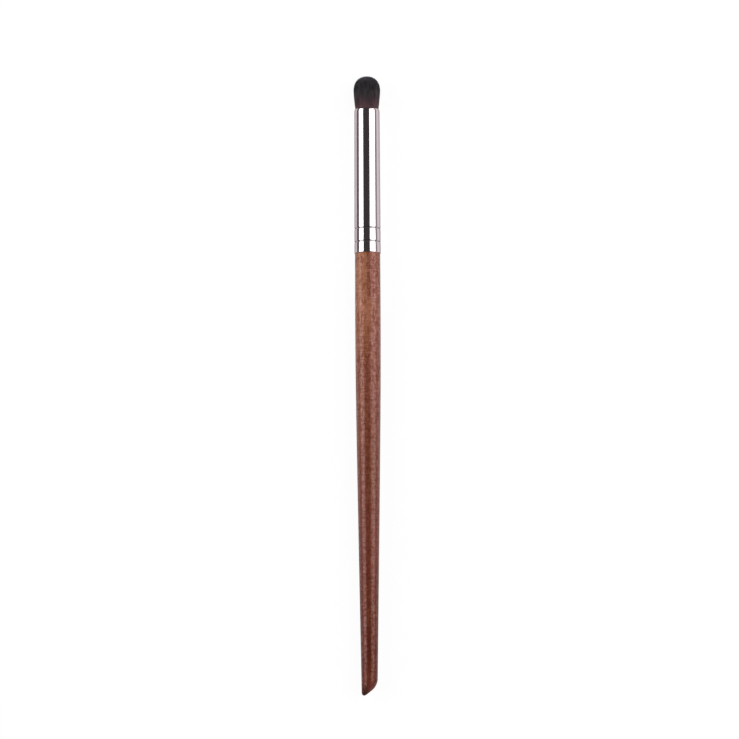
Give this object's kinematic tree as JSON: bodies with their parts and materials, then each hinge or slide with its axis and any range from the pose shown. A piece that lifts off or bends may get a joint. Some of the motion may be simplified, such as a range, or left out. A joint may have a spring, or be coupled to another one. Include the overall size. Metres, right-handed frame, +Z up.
{
  "type": "makeup brush",
  "caption": "Eye shadow makeup brush: round domed bristle tuft, crimped plated ferrule and a long tapered lacquered wood handle with a slanted end.",
  "frame": {"origin": "on the level surface that the brush lies on, under the centre of its bounding box", "axes": "+Y along the brush towards its bristles, +Z up from the surface, +X to the side that the handle's slanted end faces"},
  "size_m": [0.0078, 0.1848, 0.008],
  "materials": {
    "lacquered_wood": "reddish brown close-grained wood under clear satin lacquer",
    "nickel_plate": "bright polished plating",
    "hair": "fine charcoal hair, browner towards its roots",
    "resin": "cured amber resin with the hair roots in it",
    "cotton_thread": "twisted cotton thread",
    "glue": "cured glue film"
  },
  "bodies": {
    "root": {"handle": "lacquered_wood", "ferrule": "nickel_plate", "bristle_tuft": "hair", "root_plug": "resin", "root_binding": "cotton_thread", "tenon_glue": "glue"}
  },
  "joints": []
}
